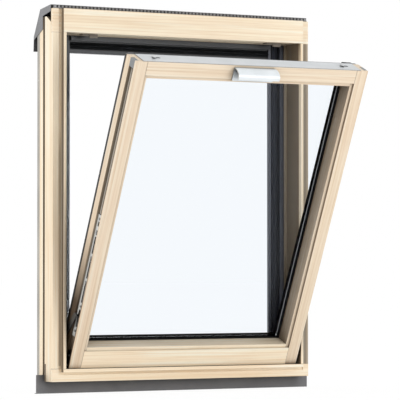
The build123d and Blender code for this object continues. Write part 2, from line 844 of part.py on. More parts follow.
with BuildPart() as sash_bottom_cover:
    pocket = bottom_rail_width - glass_overlap - glass_play
    with BuildSketch(sash_section(-cover_half)):
        Polygon(
            *cover_outline(lambda inset, depth: (depth, inset), cover_inset, pocket),
            align=None,
        )
    extrude(amount=2 * cover_half)
sash_bottom_cover.part.label = "sash_bottom_cover"
export_step(sash_bottom_cover.part, "parts/sash_bottom_cover.step")

# Hinge plates in the sash's side grooves, each ending in an eye that turns on the pin
eye_radius = hinge_pin_radius + hinge_bush_wall
hinge_plate_x = -sash_half + hinge_plate_recess
with BuildPart() as sash_left_hinge:
    with BuildSketch(sash_section(hinge_plate_x)):
        with Locations((hinge_depth, -hinge_drop)):
            Circle(eye_radius)
            Rectangle(2 * eye_radius, 2 * hinge_drop, align=(Align.CENTER, Align.MIN))
        with Locations((groove_middle, 0)):
            Rectangle(
                side_groove_width - 2 * cap_play, hinge_plate_height,
                align=(Align.CENTER, Align.MIN),
            )
        with Locations((hinge_depth, -hinge_drop)):
            Circle(hinge_pin_radius + hinge_play, mode=Mode.SUBTRACT)
    extrude(amount=hinge_plate_thickness)
sash_left_hinge.part.label = "sash_left_hinge"
export_step(sash_left_hinge.part, "parts/sash_left_hinge.step")

with BuildPart() as sash_right_hinge:
    mirror(sash_left_hinge.part, about=Plane.YZ)
sash_right_hinge.part.label = "sash_right_hinge"
export_step(sash_right_hinge.part, "parts/sash_right_hinge.step")

# Stay rails: slotted strips in the side grooves, where the stay pins run
pin_closed = stay_arm_length + stay_anchor_rise
pin_open = pin_closed * math.cos(lean) + stay_offset * math.sin(lean)
rail_x = -sash_half + stay_rail_recess
with BuildPart() as left_stay_rail:
    with BuildSketch(Plane(origin=sash_point(rail_x, groove_middle, -hinge_drop),
                           x_dir=sash_back, z_dir=(1, 0, 0))):
        with Locations((0, (stay_rail_start + stay_rail_end) / 2)):
            Rectangle(stay_rail_width, stay_rail_end - stay_rail_start)
        with Locations((0, (pin_open + pin_closed) / 2)):
            SlotCenterToCenter(
                pin_closed - pin_open + 2 * stay_stop_play, 2 * (stay_pin_radius + stay_play),
                rotation=90, mode=Mode.SUBTRACT,
            )
        slot_count = int((stay_rail_end - vent_slot_start) // vent_slot_pitch)
        slot_middle = vent_slot_start + (slot_count - 1) * vent_slot_pitch / 2
        with Locations((0, slot_middle)):
            with GridLocations(vent_slot_pitch, vent_slot_pitch, 1, slot_count):
                SlotOverall(vent_slot_length, vent_slot_width, rotation=90, mode=Mode.SUBTRACT)
    extrude(amount=stay_rail_thickness)
left_stay_rail.part.label = "left_stay_rail"
export_step(left_stay_rail.part, "parts/left_stay_rail.step")

with BuildPart() as right_stay_rail:
    mirror(left_stay_rail.part, about=Plane.YZ)
right_stay_rail.part.label = "right_stay_rail"
export_step(right_stay_rail.part, "parts/right_stay_rail.step")

# Corner caps that close the top of the side grooves
with BuildPart() as left_corner_cap:
    with BuildSketch(sash_section(-sash_half)):
        with Locations((groove_middle, sash_height)):
            RectangleRounded(side_groove_width, cap_height, cap_round,
                             align=(Align.CENTER, Align.MAX))
    extrude(amount=side_groove_depth)
left_corner_cap.part.label = "left_corner_cap"
export_step(left_corner_cap.part, "parts/left_corner_cap.step")

with BuildPart() as right_corner_cap:
    mirror(left_corner_cap.part, about=Plane.YZ)
right_corner_cap.part.label = "right_corner_cap"
export_step(right_corner_cap.part, "parts/right_corner_cap.step")

# Lock strip: a channel in the top rail's groove, slotted for the cams of the lock bar
strip_middle = top_groove_setback + top_groove_width / 2
slot_width = 2 * (cam_stem_radius + cam_play)
with BuildPart() as lock_strip:
    with BuildSketch(sash_section(-strip_half)):
        with Locations((strip_front, sash_height)):
            Rectangle(sash_wood - strip_front, strip_thickness, align=Align.MIN)
        with Locations((strip_middle, sash_height)):
            Rectangle(top_groove_width, lock_bar_drop, align=(Align.CENTER, Align.MAX))
            Rectangle(
                top_groove_width - 2 * strip_wall, lock_bar_drop,
                align=(Align.CENTER, Align.MAX), mode=Mode.SUBTRACT,
            )
    extrude(amount=2 * strip_half)
    with BuildSketch(Plane(origin=sash_point(lock_travel / 2, strip_middle, sash_height),
                           x_dir=(1, 0, 0), z_dir=sash_up)):
        with GridLocations(2 * cam_position, 1, 2, 1):
            SlotCenterToCenter(lock_travel, slot_width)
    extrude(amount=strip_thickness, mode=Mode.SUBTRACT)
lock_strip.part.label = "lock_strip"
export_step(lock_strip.part, "parts/lock_strip.step")

# Lock bar: slides in the channel and carries a mushroom cam near each end
bar_top = sash_height - lock_bar_play
with BuildPart() as lock_bar:
    with BuildSketch(sash_section(-bar_half)):
        with Locations((strip_middle, bar_top)):
            Rectangle(lock_bar_width, lock_bar_thickness, align=(Align.CENTER, Align.MAX))
    extrude(amount=2 * bar_half)
    cam_plane = Plane(origin=sash_point(0, strip_middle, bar_top), x_dir=(1, 0, 0),
                      z_dir=sash_up)
    with BuildSketch(cam_plane):
        with GridLocations(2 * cam_position, 1, 2, 1):
            Circle(cam_stem_radius)
    extrude(amount=cam_reach)
    with BuildSketch(cam_plane.offset(cam_reach - cam_head_height)):
        with GridLocations(2 * cam_position, 1, 2, 1):
            Circle(cam_head_radius)
    extrude(amount=cam_head_height)
lock_bar.part.label = "lock_bar"
export_step(lock_bar.part, "parts/lock_bar.step")

# Keeps under the head: the cams pass beside each hooked lip, then slide behind it
cam_depth = sash_setback + strip_middle
keep_length = lock_travel + 2 * (cam_head_radius + keep_margin)
with BuildPart() as lock_keeps:
    for side in (-1, 1):
        keep_start = side * cam_position - cam_head_radius - keep_margin
        with BuildSketch(frame_section(keep_start)):
            with Locations((cam_depth, head_bottom)):
                Rectangle(keep_width, keep_thickness, align=(Align.CENTER, Align.MAX))
        extrude(amount=keep_length)
        with BuildSketch(frame_section(side * cam_position + cam_head_radius + cam_play)):
            with Locations((cam_depth - keep_width / 2, head_bottom)):
                Rectangle(keep_lip, keep_lip_drop, align=(Align.MIN, Align.MAX))
        extrude(amount=keep_length - keep_margin - 2 * cam_head_radius - cam_play)
lock_keeps.part.label = "lock_keeps"
export_step(lock_keeps.part, "parts/lock_keeps.step")

# Handle base: a plate on the top rail with two ears that hold the handle's pin
handle_middle = sash_height - handle_top - handle_height / 2
pin_height = sash_height - handle_pin_drop
ear_x = handle_length / 2 - handle_ear_inset
with BuildPart() as handle_base:
    with BuildSketch(sash_elevation(0)):
        with Locations((0, handle_middle)):
            RectangleRounded(handle_length - 2 * handle_play, handle_height, handle_pin_radius)
    extrude(amount=handle_base_thickness)
    for side in (-1, 1):
        with BuildSketch(sash_section(side * ear_x - handle_ear_width / 2)):
            with Locations((-handle_pin_reach, pin_height)):
                Circle(handle_ear_radius)
            with Locations((0, pin_height)):
                Rectangle(
                    handle_pin_reach, 2 * handle_ear_radius, align=(Align.MAX, Align.CENTER)
                )
            with Locations((-handle_pin_reach, pin_height)):
                Circle(handle_pin_radius + hinge_play, mode=Mode.SUBTRACT)
        extrude(amount=handle_ear_width)
handle_base.part.label = "handle_base"
export_step(handle_base.part, "parts/handle_base.step")

with BuildPart() as handle_pin:
    with BuildSketch(sash_section(-ear_x - handle_ear_width / 2)):
        with Locations((-handle_pin_reach, pin_height)):
            Circle(handle_pin_radius)
    extrude(amount=2 * ear_x + handle_ear_width)
handle_pin.part.label = "handle_pin"
export_step(handle_pin.part, "parts/handle_pin.step")

# Handle: a bent aluminium section that arches out from the rail and down to a grip lip
crown_depth = handle_base_thickness + handle_crown_gap
crown_height = sash_height - handle_top - handle_wall / 2
grip_top = sash_height - handle_shoulder
lip_depth = handle_reach - handle_wall / 2
boss_x = ear_x - handle_ear_width / 2 - handle_play
with BuildPart() as handle:
    with BuildSketch(sash_section(-handle_length / 2)):
        with BuildLine():
            EllipticalCenterArc(
                (-crown_depth, grip_top), lip_depth - crown_depth, crown_height - grip_top,
                start_angle=handle_arch, arc_size=handle_arch,
            )
            Line((-lip_depth, grip_top), (-lip_depth, sash_height - handle_lip_end))
        trace(line_width=handle_wall)
    extrude(amount=handle_length)
    for start in (-boss_x, boss_x - handle_ear_width):
        with BuildSketch(sash_section(start)):
            with Locations((-handle_pin_reach, pin_height)):
                Circle(handle_boss_radius)
                Circle(handle_pin_radius + hinge_play, mode=Mode.SUBTRACT)
        extrude(amount=handle_ear_width)
handle.part.label = "handle"
export_step(handle.part, "parts/handle.step")
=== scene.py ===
"""Tilting timber window: finishes, small fittings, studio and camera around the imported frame.

Everything is in metres. +Z is up, +Y points outdoors and X runs along the sill.
"""
from __future__ import annotations

import logging
import math
from dataclasses import dataclass
from enum import Enum
from typing import Iterable, Sequence

import bmesh
import bpy
import numpy as np
from mathutils import Euler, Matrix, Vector


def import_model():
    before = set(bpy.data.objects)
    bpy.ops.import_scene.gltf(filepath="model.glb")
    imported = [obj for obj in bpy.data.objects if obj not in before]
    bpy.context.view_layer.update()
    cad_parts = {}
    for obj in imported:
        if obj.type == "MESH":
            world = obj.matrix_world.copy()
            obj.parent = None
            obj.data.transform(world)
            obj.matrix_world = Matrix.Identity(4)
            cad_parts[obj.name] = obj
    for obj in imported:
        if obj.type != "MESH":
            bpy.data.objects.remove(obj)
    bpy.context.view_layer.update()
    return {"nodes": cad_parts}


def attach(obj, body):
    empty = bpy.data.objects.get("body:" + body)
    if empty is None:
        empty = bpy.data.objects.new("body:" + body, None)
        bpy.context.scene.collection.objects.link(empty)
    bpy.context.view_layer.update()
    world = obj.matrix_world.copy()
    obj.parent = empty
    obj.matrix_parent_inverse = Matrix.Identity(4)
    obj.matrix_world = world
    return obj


LOG = logging.getLogger("window")
LEAN = math.radians(24.18)
X, Y, Z = range(3)
SIDES = (-1.0, 1.0)
SASH_EDGES = ("left", "right", "top", "bottom")
WHITE = (1.0, 1.0, 1.0, 1.0)

# Ends between which most values of a noise lie, and a narrower pair around its middle
MOST_NOISE = (0.3, 0.7)
MIDDLE_NOISE = (0.35, 0.65)

# Curve of an sRGB colour channel
FULL_CHANNEL = 255.0
TOE_END = 0.04045
TOE_SLOPE = 12.92
CURVE_OFFSET = 0.055
CURVE_POWER = 2.4

Colour = tuple[float, float, float]
Span = tuple[float, float]


def linear(red: float, green: float, blue: float) -> tuple[float, ...]:
    """Turn an 8-bit sRGB colour into linear values.

    Formula: c over the toe's slope below the toe's end, else (c + offset) / (1 + offset)
    to the curve's power.

    Args:
        red: Red from 0 to 255.
        green: Green from 0 to 255.
        blue: Blue from 0 to 255.

    Returns:
        Linear red, green and blue, and full opacity.
    """
    shares = np.array([red, green, blue]) / FULL_CHANNEL
    toe = shares / TOE_SLOPE
    curve = ((shares + CURVE_OFFSET) / (1.0 + CURVE_OFFSET)) ** CURVE_POWER
    return (*np.where(shares <= TOE_END, toe, curve).tolist(), 1.0)


class GrainAxis(Enum):
    """Direction in which a timber's fibres run: axis along, axis across and lean."""

    UPRIGHT = (Z, X, 0.0)
    LEVEL = (X, Z, 0.0)
    LEANING = (Z, X, LEAN)
    LEVEL_LEANING = (X, Z, LEAN)


@dataclass(frozen=True)
class Graph:
    """Short forms for building one material's node tree.

    The mix numbers are the mix node's colour sockets: share, first and second, and result.
    """

    tree: bpy.types.NodeTree
    mix_inputs: tuple[int, int, int] = (0, 6, 7)
    mix_result: int = 2
    corner_samples: int = 8

    def add(self, kind: str, inputs: dict | None = None, **settings: object) -> bpy.types.Node:
        """Add a shader node.

        Args:
            kind: Node type without its ShaderNode prefix.
            inputs: Values or sockets for the node's inputs, by name or number.
            **settings: Attributes to set on the node.

        Returns:
            The new node.
        """
        node = self.tree.nodes.new(f"ShaderNode{kind}")
        for key, value in settings.items():
            setattr(node, key, value)
        for key, value in (inputs or {}).items():
            if isinstance(value, bpy.types.NodeSocket):
                self.tree.links.new(value, node.inputs[key])
            else:
                node.inputs[key].default_value = value
        return node

    def coordinates(
        self,
        scale: Sequence[float] = (1.0, 1.0, 1.0),
        rotation: Sequence[float] = (0.0, 0.0, 0.0),
    ) -> bpy.types.NodeSocket:
        """Return the piece's own coordinates, turned and then scaled.

        Args:
            scale: Factors along the turned axes.
            rotation: Euler angles in radians.

        Returns:
            The vector socket.
        """
        place = self.add("TexCoord").outputs["Object"]
        turned = self.add("Mapping", {"Vector": place, "Rotation": rotation})
        return self.add("Mapping", {"Vector": turned.outputs[0], "Scale": scale}).outputs[0]

    def noise(
        self, vector: bpy.types.NodeSocket, scale: float, detail: float = 2.0, rough: float = 0.5
    ) -> bpy.types.NodeSocket:
        """Return fractal noise from 0 to 1 at a vector."""
        node = self.add(
            "TexNoise", {"Vector": vector, "Scale": scale, "Detail": detail, "Roughness": rough}
        )
        return node.outputs["Fac"]

    def math(self, operation: str, first: object, second: object = 0.0) -> bpy.types.NodeSocket:
        """Return the result of one arithmetic step."""
        return self.add("Math", {0: first, 1: second}, operation=operation).outputs[0]

    def span(
        self, value: bpy.types.NodeSocket, low: float, high: float, start: float = 0.0,
        end: float = 1.0,
    ) -> bpy.types.NodeSocket:
        """Return value carried from the span start to end onto the span low to high."""
        return self.add(
            "MapRange",
            {"Value": value, "From Min": start, "From Max": end, "To Min": low, "To Max": high},
        ).outputs[0]

    def around(
        self, value: float, play: float, noise: bpy.types.NodeSocket
    ) -> bpy.types.NodeSocket:
        """Return a value that noise moves up and down by a share of itself."""
        return self.span(noise, value * (1.0 - play), value * (1.0 + play), *MOST_NOISE)

    def blend(
        self, share: object, first: object, second: object, way: str = "MIX"
    ) -> bpy.types.NodeSocket:
        """Blend two colours.

        Args:
            share: Share of the second colour, from 0 to 1, or its socket.
            first: First colour or socket.
            second: Second colour or socket.
            way: The mix node's way of blending.

        Returns:
            The colour socket.
        """
        values = dict(zip(self.mix_inputs, (share, first, second)))
        node = self.add("Mix", values, data_type="RGBA", blend_type=way)
        return node.outputs[self.mix_result]

    def bump(
        self, height: bpy.types.NodeSocket, strength: float, distance: float
    ) -> bpy.types.NodeSocket:
        """Return a normal bent by a height field."""
        return self.add(
            "Bump", {"Height": height, "Strength": strength, "Distance": distance}
        ).outputs[0]

    def shaded(
        self, colour: bpy.types.NodeSocket, reach: float, power: float, shade: Colour,
        marks: Sequence[bpy.types.NodeSocket] = (),
        lifts: Sequence[bpy.types.NodeSocket] = (),
    ) -> bpy.types.NodeSocket:
        """Paint shade into a colour in corners and grooves.

        The open share of the sky within reach, raised to a power, blends the colour towards
        the same colour times a dark tint.

        Args:
            colour: Colour in the open.
            reach: Distance of the surfaces that still shade, in metres.
            power: How fast the shade deepens.
            shade: Linear tint at full shade.
            marks: Further closed shares, of which the largest holds.
            lifts: Shares of the corner shade to take away.

        Returns:
            The shaded colour socket.
        """
        sky = self.add("AmbientOcclusion", {"Distance": reach}, samples=self.corner_samples)
        closed = self.math("SUBTRACT", 1.0, self.math("POWER", sky.outputs["AO"], power))
        for lift in lifts:
            closed = self.math("MULTIPLY", closed, self.math("SUBTRACT", 1.0, lift))
        for mark in marks:
            closed = self.math("MAXIMUM", closed, mark)
        return self.blend(closed, colour, (*shade, 1.0), "MULTIPLY")

    def seen(self) -> bpy.types.NodeSocket:
        """Tell the rays that show a surface to the eye, by mirror or through glass too.

        Returns:
            A socket of 1 for those rays and 0 for the others.
        """
        rays = self.add("LightPath").outputs
        direct = self.math("MAXIMUM", rays["Is Camera Ray"], rays["Is Glossy Ray"])
        return self.math("MAXIMUM", direct, rays["Is Transmission Ray"])

    def surface(self, **inputs: object) -> None:
        """Add the main shader and join it to the output.

        Args:
            **inputs: Values or sockets by input name, with underscores for spaces.
        """
        names = {key.replace("_", " "): value for key, value in inputs.items()}
        shader = self.add("BsdfPrincipled", names)
        self.add("OutputMaterial", {"Surface": shader.outputs[0]})


def new_graph(name: str) -> tuple[bpy.types.Material, Graph]:
    """Make an empty node material and the graph that fills it.

    Args:
        name: Name of the material.

    Returns:
        The material and its graph.
    """
    material = bpy.data.materials.new(name)
    material.use_nodes = True
    material.node_tree.nodes.clear()
    return material, Graph(material.node_tree)


@dataclass(frozen=True)
class Mark:
    """Dark joint on a timber, painted shade on a slot, crease or face of it, or a place where its
    painted corner shade is cut back.

    It lies where every given span holds: spans of |x|, y and z in metres, in the timber's
    turned coordinates. The share is how strong it gets. The fade is the length over which
    it thins out below its upper end.
    """

    share: float
    across: Span | None = None
    depth: Span | None = None
    height: Span | None = None
    soft: float = 0.0004
    fade: float = 0.0

    def closed(self, graph: Graph, parts: Sequence[bpy.types.NodeSocket]) -> bpy.types.NodeSocket:
        """Return the mark's share as a socket: the product of its spans, each with soft ends.

        Args:
            graph: The timber's graph.
            parts: Sockets of the turned coordinates x, y and z.

        Returns:
            The share socket.
        """
        result: object = self.share
        spans = (self.across, self.depth, self.height)
        values = (graph.math("ABSOLUTE", parts[X]), parts[Y], parts[Z])
        for span, value in zip(spans, values):
            if span is None:
                continue
            low, high = span
            rise = graph.span(value, 0.0, 1.0, low - self.soft, low + self.soft)
            fall = graph.span(value, 1.0, 0.0, high - self.soft, high + self.soft)
            result = graph.math("MULTIPLY", graph.math("MULTIPLY", rise, fall), result)
        if self.fade and self.height is not None:
            top = self.height[1]
            thin = graph.span(parts[Z], 1.0, 0.0, top - self.fade, top)
            result = graph.math("MULTIPLY", thin, result)
        return result


@dataclass(frozen=True)
class Streaks:
    """Noise drawn out along one axis, and how strongly it shows as a tint.

    Frequencies are per metre. Over the span of the noise the tint grows from none to its
    full share.
    """

    across: float
    along: float
    detail: float = 2.0
    rough: float = 0.5
    span: Span = MOST_NOISE
    share: float = 1.0

    def noise(self, graph: Graph, axis: int, turn: Sequence[float]) -> bpy.types.NodeSocket:
        """Return the noise.

        Args:
            graph: The material's graph.
            axis: Axis along which the noise is drawn out, after the turn.
            turn: Euler angles in radians.

        Returns:
            The noise socket.
        """
        scale = [self.across] * 3
        scale[axis] = self.along
        return graph.noise(graph.coordinates(scale, turn), 1.0, self.detail, self.rough)

    def tint(
        self, graph: Graph, noise: bpy.types.NodeSocket, under: object, colour: Colour
    ) -> bpy.types.NodeSocket:
        """Return the colour under the streaks, tinted where their noise is high."""
        return graph.blend(
            graph.span(noise, 0.0, self.share, *self.span), under, linear(*colour)
        )


@dataclass(frozen=True)
class PineFinish:
    """Clear-lacquered laminated pine with straight grain.

    The five colours are 8-bit sRGB. Lengths are in metres and frequencies per metre. The bend
    is how far slow noise moves the year rings.
    """

    sapwood: Colour = (255, 240, 213)
    latewood: Colour = (235, 208, 171)
    heartwood: Colour = (254, 235, 205)
    blush: Colour = (250, 222, 191)
    pale: Colour = (255, 252, 236)
    heart_share: float = 0.8
    lamella: float = 0.019
    ring: float = 0.0085
    ring_power: float = 3.0
    ring_shares: Span = (0.12, 0.55)
    bend: float = 0.016
    bend_across: float = 14.0
    bend_along: float = 1.3
    bend_rough: float = 0.45
    board_shift: float = 3.0
    pith_shift: float = 0.05
    fibre: Streaks = Streaks(420.0, 9.0, detail=3.0, rough=0.6, span=(0.52, 0.74), share=0.45)
    streak: Streaks = Streaks(105.0, 1.5, detail=3.0, rough=0.6, span=(0.46, 0.70), share=0.52)
    gleam: Streaks = Streaks(150.0, 2.6, span=(0.52, 0.68), share=0.62)
    cloud: Streaks = Streaks(16.0, 5.0, span=(0.40, 0.66), share=0.34)
    roughness: Span = (0.42, 0.58)
    specular: float = 0.35
    relief: float = 0.12
    relief_height: float = 0.0003
    # Painted shade in corners and grooves: how far it reaches and its tint
    corner_reach: float = 0.12
    corner_shade: Colour = (0.07, 0.05, 0.032)

    def material(
        self, grain: GrainAxis, seed: float, power: float, marks: Sequence[Mark],
        lifts: Sequence[Mark] = (),
    ) -> bpy.types.Material:
        """Build the wood for one piece.

        Args:
            grain: Direction of the fibres.
            seed: Shift that makes the piece's figure its own.
            power: How fast the corner shade deepens.
            marks: Dark joints, and painted shade on slots, creases and faces.
            lifts: Places where the painted corner shade is cut back.

        Returns:
            The material.
        """
        material, graph = new_graph(f"pine_{grain.name.lower()}_{seed:.0f}")
        along, _, lean = grain.value
        turn = (-lean, 0.0, 0.0)
        parts = graph.add("SeparateXYZ", {0: graph.coordinates(rotation=turn)}).outputs
        fibre = self.fibre.noise(graph, along, turn)
        shaded = graph.shaded(
            self.figure(graph, parts, grain, seed, fibre), self.corner_reach, power,
            self.corner_shade, [mark.closed(graph, parts) for mark in marks],
            [lift.closed(graph, parts) for lift in lifts],
        )
        graph.surface(
            Base_Color=shaded,
            Roughness=graph.span(fibre, *self.roughness, *MOST_NOISE),
            Specular_IOR_Level=self.specular,
            Normal=graph.bump(fibre, self.relief, self.relief_height),
        )
        return material

    def figure(
        self, graph: Graph, parts: Sequence[bpy.types.NodeSocket], grain: GrainAxis, seed: float,
        fibre: bpy.types.NodeSocket,
    ) -> bpy.types.NodeSocket:
        """Colour the wood.

        Each lamella has its own tone between sapwood and heartwood. Blush clouds, year rings,
        dark streaks, pale gleams and fine fibres are laid over it in turn.

        Args:
            graph: The timber's graph.
            parts: Sockets of the turned coordinates x, y and z.
            grain: Direction of the fibres.
            seed: Shift that makes the piece's figure its own.
            fibre: Noise of the fine fibres.

        Returns:
            The colour socket.
        """
        along, _, lean = grain.value
        turn = (-lean, 0.0, 0.0)
        board = graph.math("FLOOR", graph.math("DIVIDE", parts[Y], self.lamella))
        chance = graph.add(
            "TexWhiteNoise", {"W": graph.math("ADD", board, seed)}, noise_dimensions="1D"
        ).outputs[0]
        streak, gleam, cloud = (
            layer.noise(graph, along, turn) for layer in (self.streak, self.gleam, self.cloud)
        )
        rings = graph.math(
            "MULTIPLY", self.rings(graph, parts, grain, seed, chance),
            graph.span(streak, *self.ring_shares, *MIDDLE_NOISE),
        )
        tone = graph.blend(
            graph.span(chance, 0.0, self.heart_share), linear(*self.sapwood),
            linear(*self.heartwood),
        )
        flushed = self.cloud.tint(graph, cloud, tone, self.blush)
        ringed = graph.blend(rings, flushed, linear(*self.latewood))
        lined = self.streak.tint(graph, streak, ringed, self.latewood)
        lit = self.gleam.tint(graph, gleam, lined, self.pale)
        return self.fibre.tint(graph, fibre, lit, self.latewood)

    def rings(
        self, graph: Graph, parts: Sequence[bpy.types.NodeSocket], grain: GrainAxis, seed: float,
        chance: bpy.types.NodeSocket,
    ) -> bpy.types.NodeSocket:
        """Return the year rings as shares.

        Formula: a sine of the distance from the lamella's far pith line, bent by slow noise
        and raised to a power that leaves narrow lines.

        Args:
            graph: The timber's graph.
            parts: Sockets of the turned coordinates x, y and z.
            grain: Direction of the fibres.
            seed: Shift that makes the piece's figure its own.
            chance: The lamella's random number.

        Returns:
            The share socket.
        """
        along, across, _ = grain.value
        shift = graph.math("MULTIPLY", chance, self.board_shift)
        deep = graph.math("MULTIPLY", parts[Y], self.bend_across)
        slow = graph.add(
            "CombineXYZ",
            {
                "X": graph.math("MULTIPLY", parts[across], self.bend_across),
                "Y": graph.math("ADD", deep, shift),
                "Z": graph.math(
                    "ADD", graph.math("MULTIPLY", parts[along], self.bend_along), seed
                ),
            },
        ).outputs[0]
        bend = graph.span(graph.noise(slow, 1.0, rough=self.bend_rough), -self.bend, self.bend)
        side = graph.math("ADD", graph.math("ADD", parts[across], bend), chance)
        back = graph.math("ADD", parts[Y], graph.math("MULTIPLY", chance, self.pith_shift))
        squares = (graph.math("MULTIPLY", leg, leg) for leg in (side, back))
        radius = graph.math("SQRT", graph.math("ADD", *squares))
        wave = graph.math("SINE", graph.math("MULTIPLY", radius, 2.0 * math.pi / self.ring))
        return graph.math("POWER", graph.span(wave, 0.0, 1.0, -1.0, 1.0), self.ring_power)


@dataclass(frozen=True)
class CoatFinish:
    """Even coating or moulded surface with a fine texture.

    The colour is 8-bit sRGB. Grain and cloud are the frequencies of the fine and the slow
    noise, per metre. Mottle and play are the shares by which colour and roughness vary.
    """

    name: str
    colour: Colour
    roughness: float = 0.4
    metallic: float = 0.0
    specular: float = 0.5
    grain: float = 900.0
    relief: float = 0.08
    relief_height: float = 0.0004
    mottle: float = 0.06
    play: float = 0.15
    cloud: float = 9.0
    cloud_detail: float = 3.0
    cloud_rough: float = 0.55
    # Painted shade in corners: how far it reaches, how fast it deepens and its tint
    corner_reach: float = 0.03
    corner_power: float = 1.6
    corner_shade: Colour = (0.12, 0.12, 0.12)

    def material(self) -> bpy.types.Material:
        """Build the coating: slow noise tints the colour and fine noise the surface; painted
        shade darkens its corners.

        Returns:
            The material.
        """
        material, graph = new_graph(self.name)
        place = graph.coordinates()
        fine = graph.noise(place, self.grain)
        slow = graph.noise(place, self.cloud, self.cloud_detail, self.cloud_rough)
        dark, light = (
            linear(*(min(FULL_CHANNEL, channel * factor) for channel in self.colour))
            for factor in (1.0 - self.mottle, 1.0 + self.mottle)
        )
        even = graph.blend(graph.span(slow, 0.0, 1.0, *MOST_NOISE), dark, light)
        graph.surface(
            Base_Color=graph.shaded(
                even, self.corner_reach, self.corner_power, self.corner_shade
            ),
            Metallic=self.metallic,
            Specular_IOR_Level=self.specular,
            Roughness=graph.around(self.roughness, self.play, fine),
            Normal=graph.bump(fine, self.relief, self.relief_height),
        )
        return material


@dataclass(frozen=True)
class BrushedFinish:
    """Metal drawn or brushed along one axis of the leaning sash.

    The colour is 8-bit sRGB. Cloud is the slow noise's frequency per metre. Dulling and play
    are the shares by which colour and roughness vary.
    """

    name: str
    colour: Colour
    roughness: float = 0.42
    metallic: float = 1.0
    along: int = X
    scores: Streaks = Streaks(1300.0, 12.0, rough=0.6)
    relief: float = 0.15
    relief_height: float = 0.0002
    dulling: float = 0.03
    play: float = 0.2
    cloud: float = 22.0
    cloud_detail: float = 3.0
    # Painted shade in corners: how far it reaches, how fast it deepens and its tint
    corner_reach: float = 0.02
    corner_power: float = 1.5
    corner_shade: Colour = (0.10, 0.10, 0.10)

    def material(self) -> bpy.types.Material:
        """Build the metal: noise drawn out along one axis scores the surface; painted shade
        darkens its corners.

        Returns:
            The material.
        """
        material, graph = new_graph(self.name)
        lines = self.scores.noise(graph, self.along, (-LEAN, 0.0, 0.0))
        slow = graph.noise(graph.coordinates(), self.cloud, self.cloud_detail)
        dull = linear(*(channel * (1.0 - self.dulling) for channel in self.colour))
        even = graph.blend(graph.span(slow, 0.0, 1.0, *MIDDLE_NOISE), dull, linear(*self.colour))
        graph.surface(
            Base_Color=graph.shaded(
                even, self.corner_reach, self.corner_power, self.corner_shade
            ),
            Metallic=self.metallic,
            Roughness=graph.around(self.roughness, self.play, lines),
            Normal=graph.bump(lines, self.relief, self.relief_height),
        )
        return material


@dataclass(frozen=True)
class GlassFinish:
    """Clear float glass that lets light through without dark shadows.

    Tint and shadow are 8-bit sRGB.
    """

    tint: Colour = (250, 252, 254)
    shadow: Colour = (176, 176, 176)
    ior: float = 1.12

    def material(self) -> bpy.types.Material:
        """Build the glass: it is clear to shadow rays and a dielectric to the others.

        Returns:
            The material.
        """
        material, graph = new_graph("float_glass")
        shader = graph.add(
            "BsdfPrincipled",
            {
                "Base Color": linear(*self.tint),
                "Roughness": 0.0,
                "IOR": self.ior,
                "Transmission Weight": 1.0,
            },
        )
        clear = graph.add("BsdfTransparent", {"Color": linear(*self.shadow)})
        shadow_ray = graph.add("LightPath").outputs["Is Shadow Ray"]
        mixed = graph.add("MixShader", {0: shadow_ray, 1: shader.outputs[0], 2: clear.outputs[0]})
        graph.add("OutputMaterial", {"Surface": mixed.outputs[0]})
        return material


DARK_COAT = CoatFinish("dark_profile_coat", (54, 57, 61), roughness=0.36)
# Lighter, bluer copy of the dark profile coat: painted light on the right stop
LIT_STOP_COAT = CoatFinish("right_profile_lit_coat", (78, 81, 91), roughness=0.36)
COVER_COAT = CoatFinish("sash_cover_coat", (34, 35, 37))
SHEET_COAT = CoatFinish("grey_sheet_coat", (113, 113, 115), roughness=0.5, specular=0.25)
# Lighter copies of the grey sheet: painted light on the side claddings and on the hood
LIT_SIDE_COAT = CoatFinish("side_sheet_lit_coat", (172, 168, 160), roughness=0.42)
LIT_HOOD_COAT = CoatFinish("hood_sheet_lit_coat", (128, 128, 130), roughness=0.42)
TRACK_COAT = CoatFinish("track_coat", (158, 149, 136), roughness=0.5, corner_reach=0.010)
CAM_COAT = CoatFinish("cam_coat", (214, 216, 217), roughness=0.45, corner_reach=0.004)
KEEP_COAT = CoatFinish("keep_coat", (150, 141, 129), roughness=0.5, specular=0.3)
COMB_PLASTIC = CoatFinish("comb_plastic", (160, 160, 161), roughness=0.6, specular=0.3)
CAP_PLASTIC = CoatFinish("cap_plastic", (140, 142, 143), roughness=0.5, specular=0.35)
BLACK_RUBBER = CoatFinish(
    "black_rubber", (24, 26, 28), roughness=0.75, specular=0.10, grain=500.0, relief=0.02
)
# Lighter, bluer copy of the black rubber: painted light on the side seals
LIT_GREY_RUBBER = CoatFinish(
    "grey_lit_rubber", (46, 49, 57), roughness=0.7, specular=0.15, grain=500.0
)
EDGE_SEAL = CoatFinish("edge_sealant", (16, 18, 20), roughness=0.8, specular=0.0)
SPACER_METAL = CoatFinish("spacer_coat", (26, 28, 31), roughness=0.85, specular=0.02)
# Light grey for the strips of painted highlight beside the spacer
SPACER_HIGHLIGHT = CoatFinish("spacer_highlight_paint", (158, 161, 164), corner_reach=0.0005)
# Near-white coat of the corner keys, partly a painted highlight in the glass's corners
KEY_METAL_GLINT = CoatFinish(
    "corner_key", (246, 247, 248), roughness=0.3, specular=0.7, corner_reach=0.0005
)
ZINC_PLATE = CoatFinish(
    "zinc_plate", (214, 214, 210), metallic=0.2, grain=1500.0, corner_reach=0.006
)
HEAD_STEEL = CoatFinish(
    "screw_steel", (170, 171, 170), roughness=0.35, metallic=0.7, grain=1500.0, relief=0.04
)
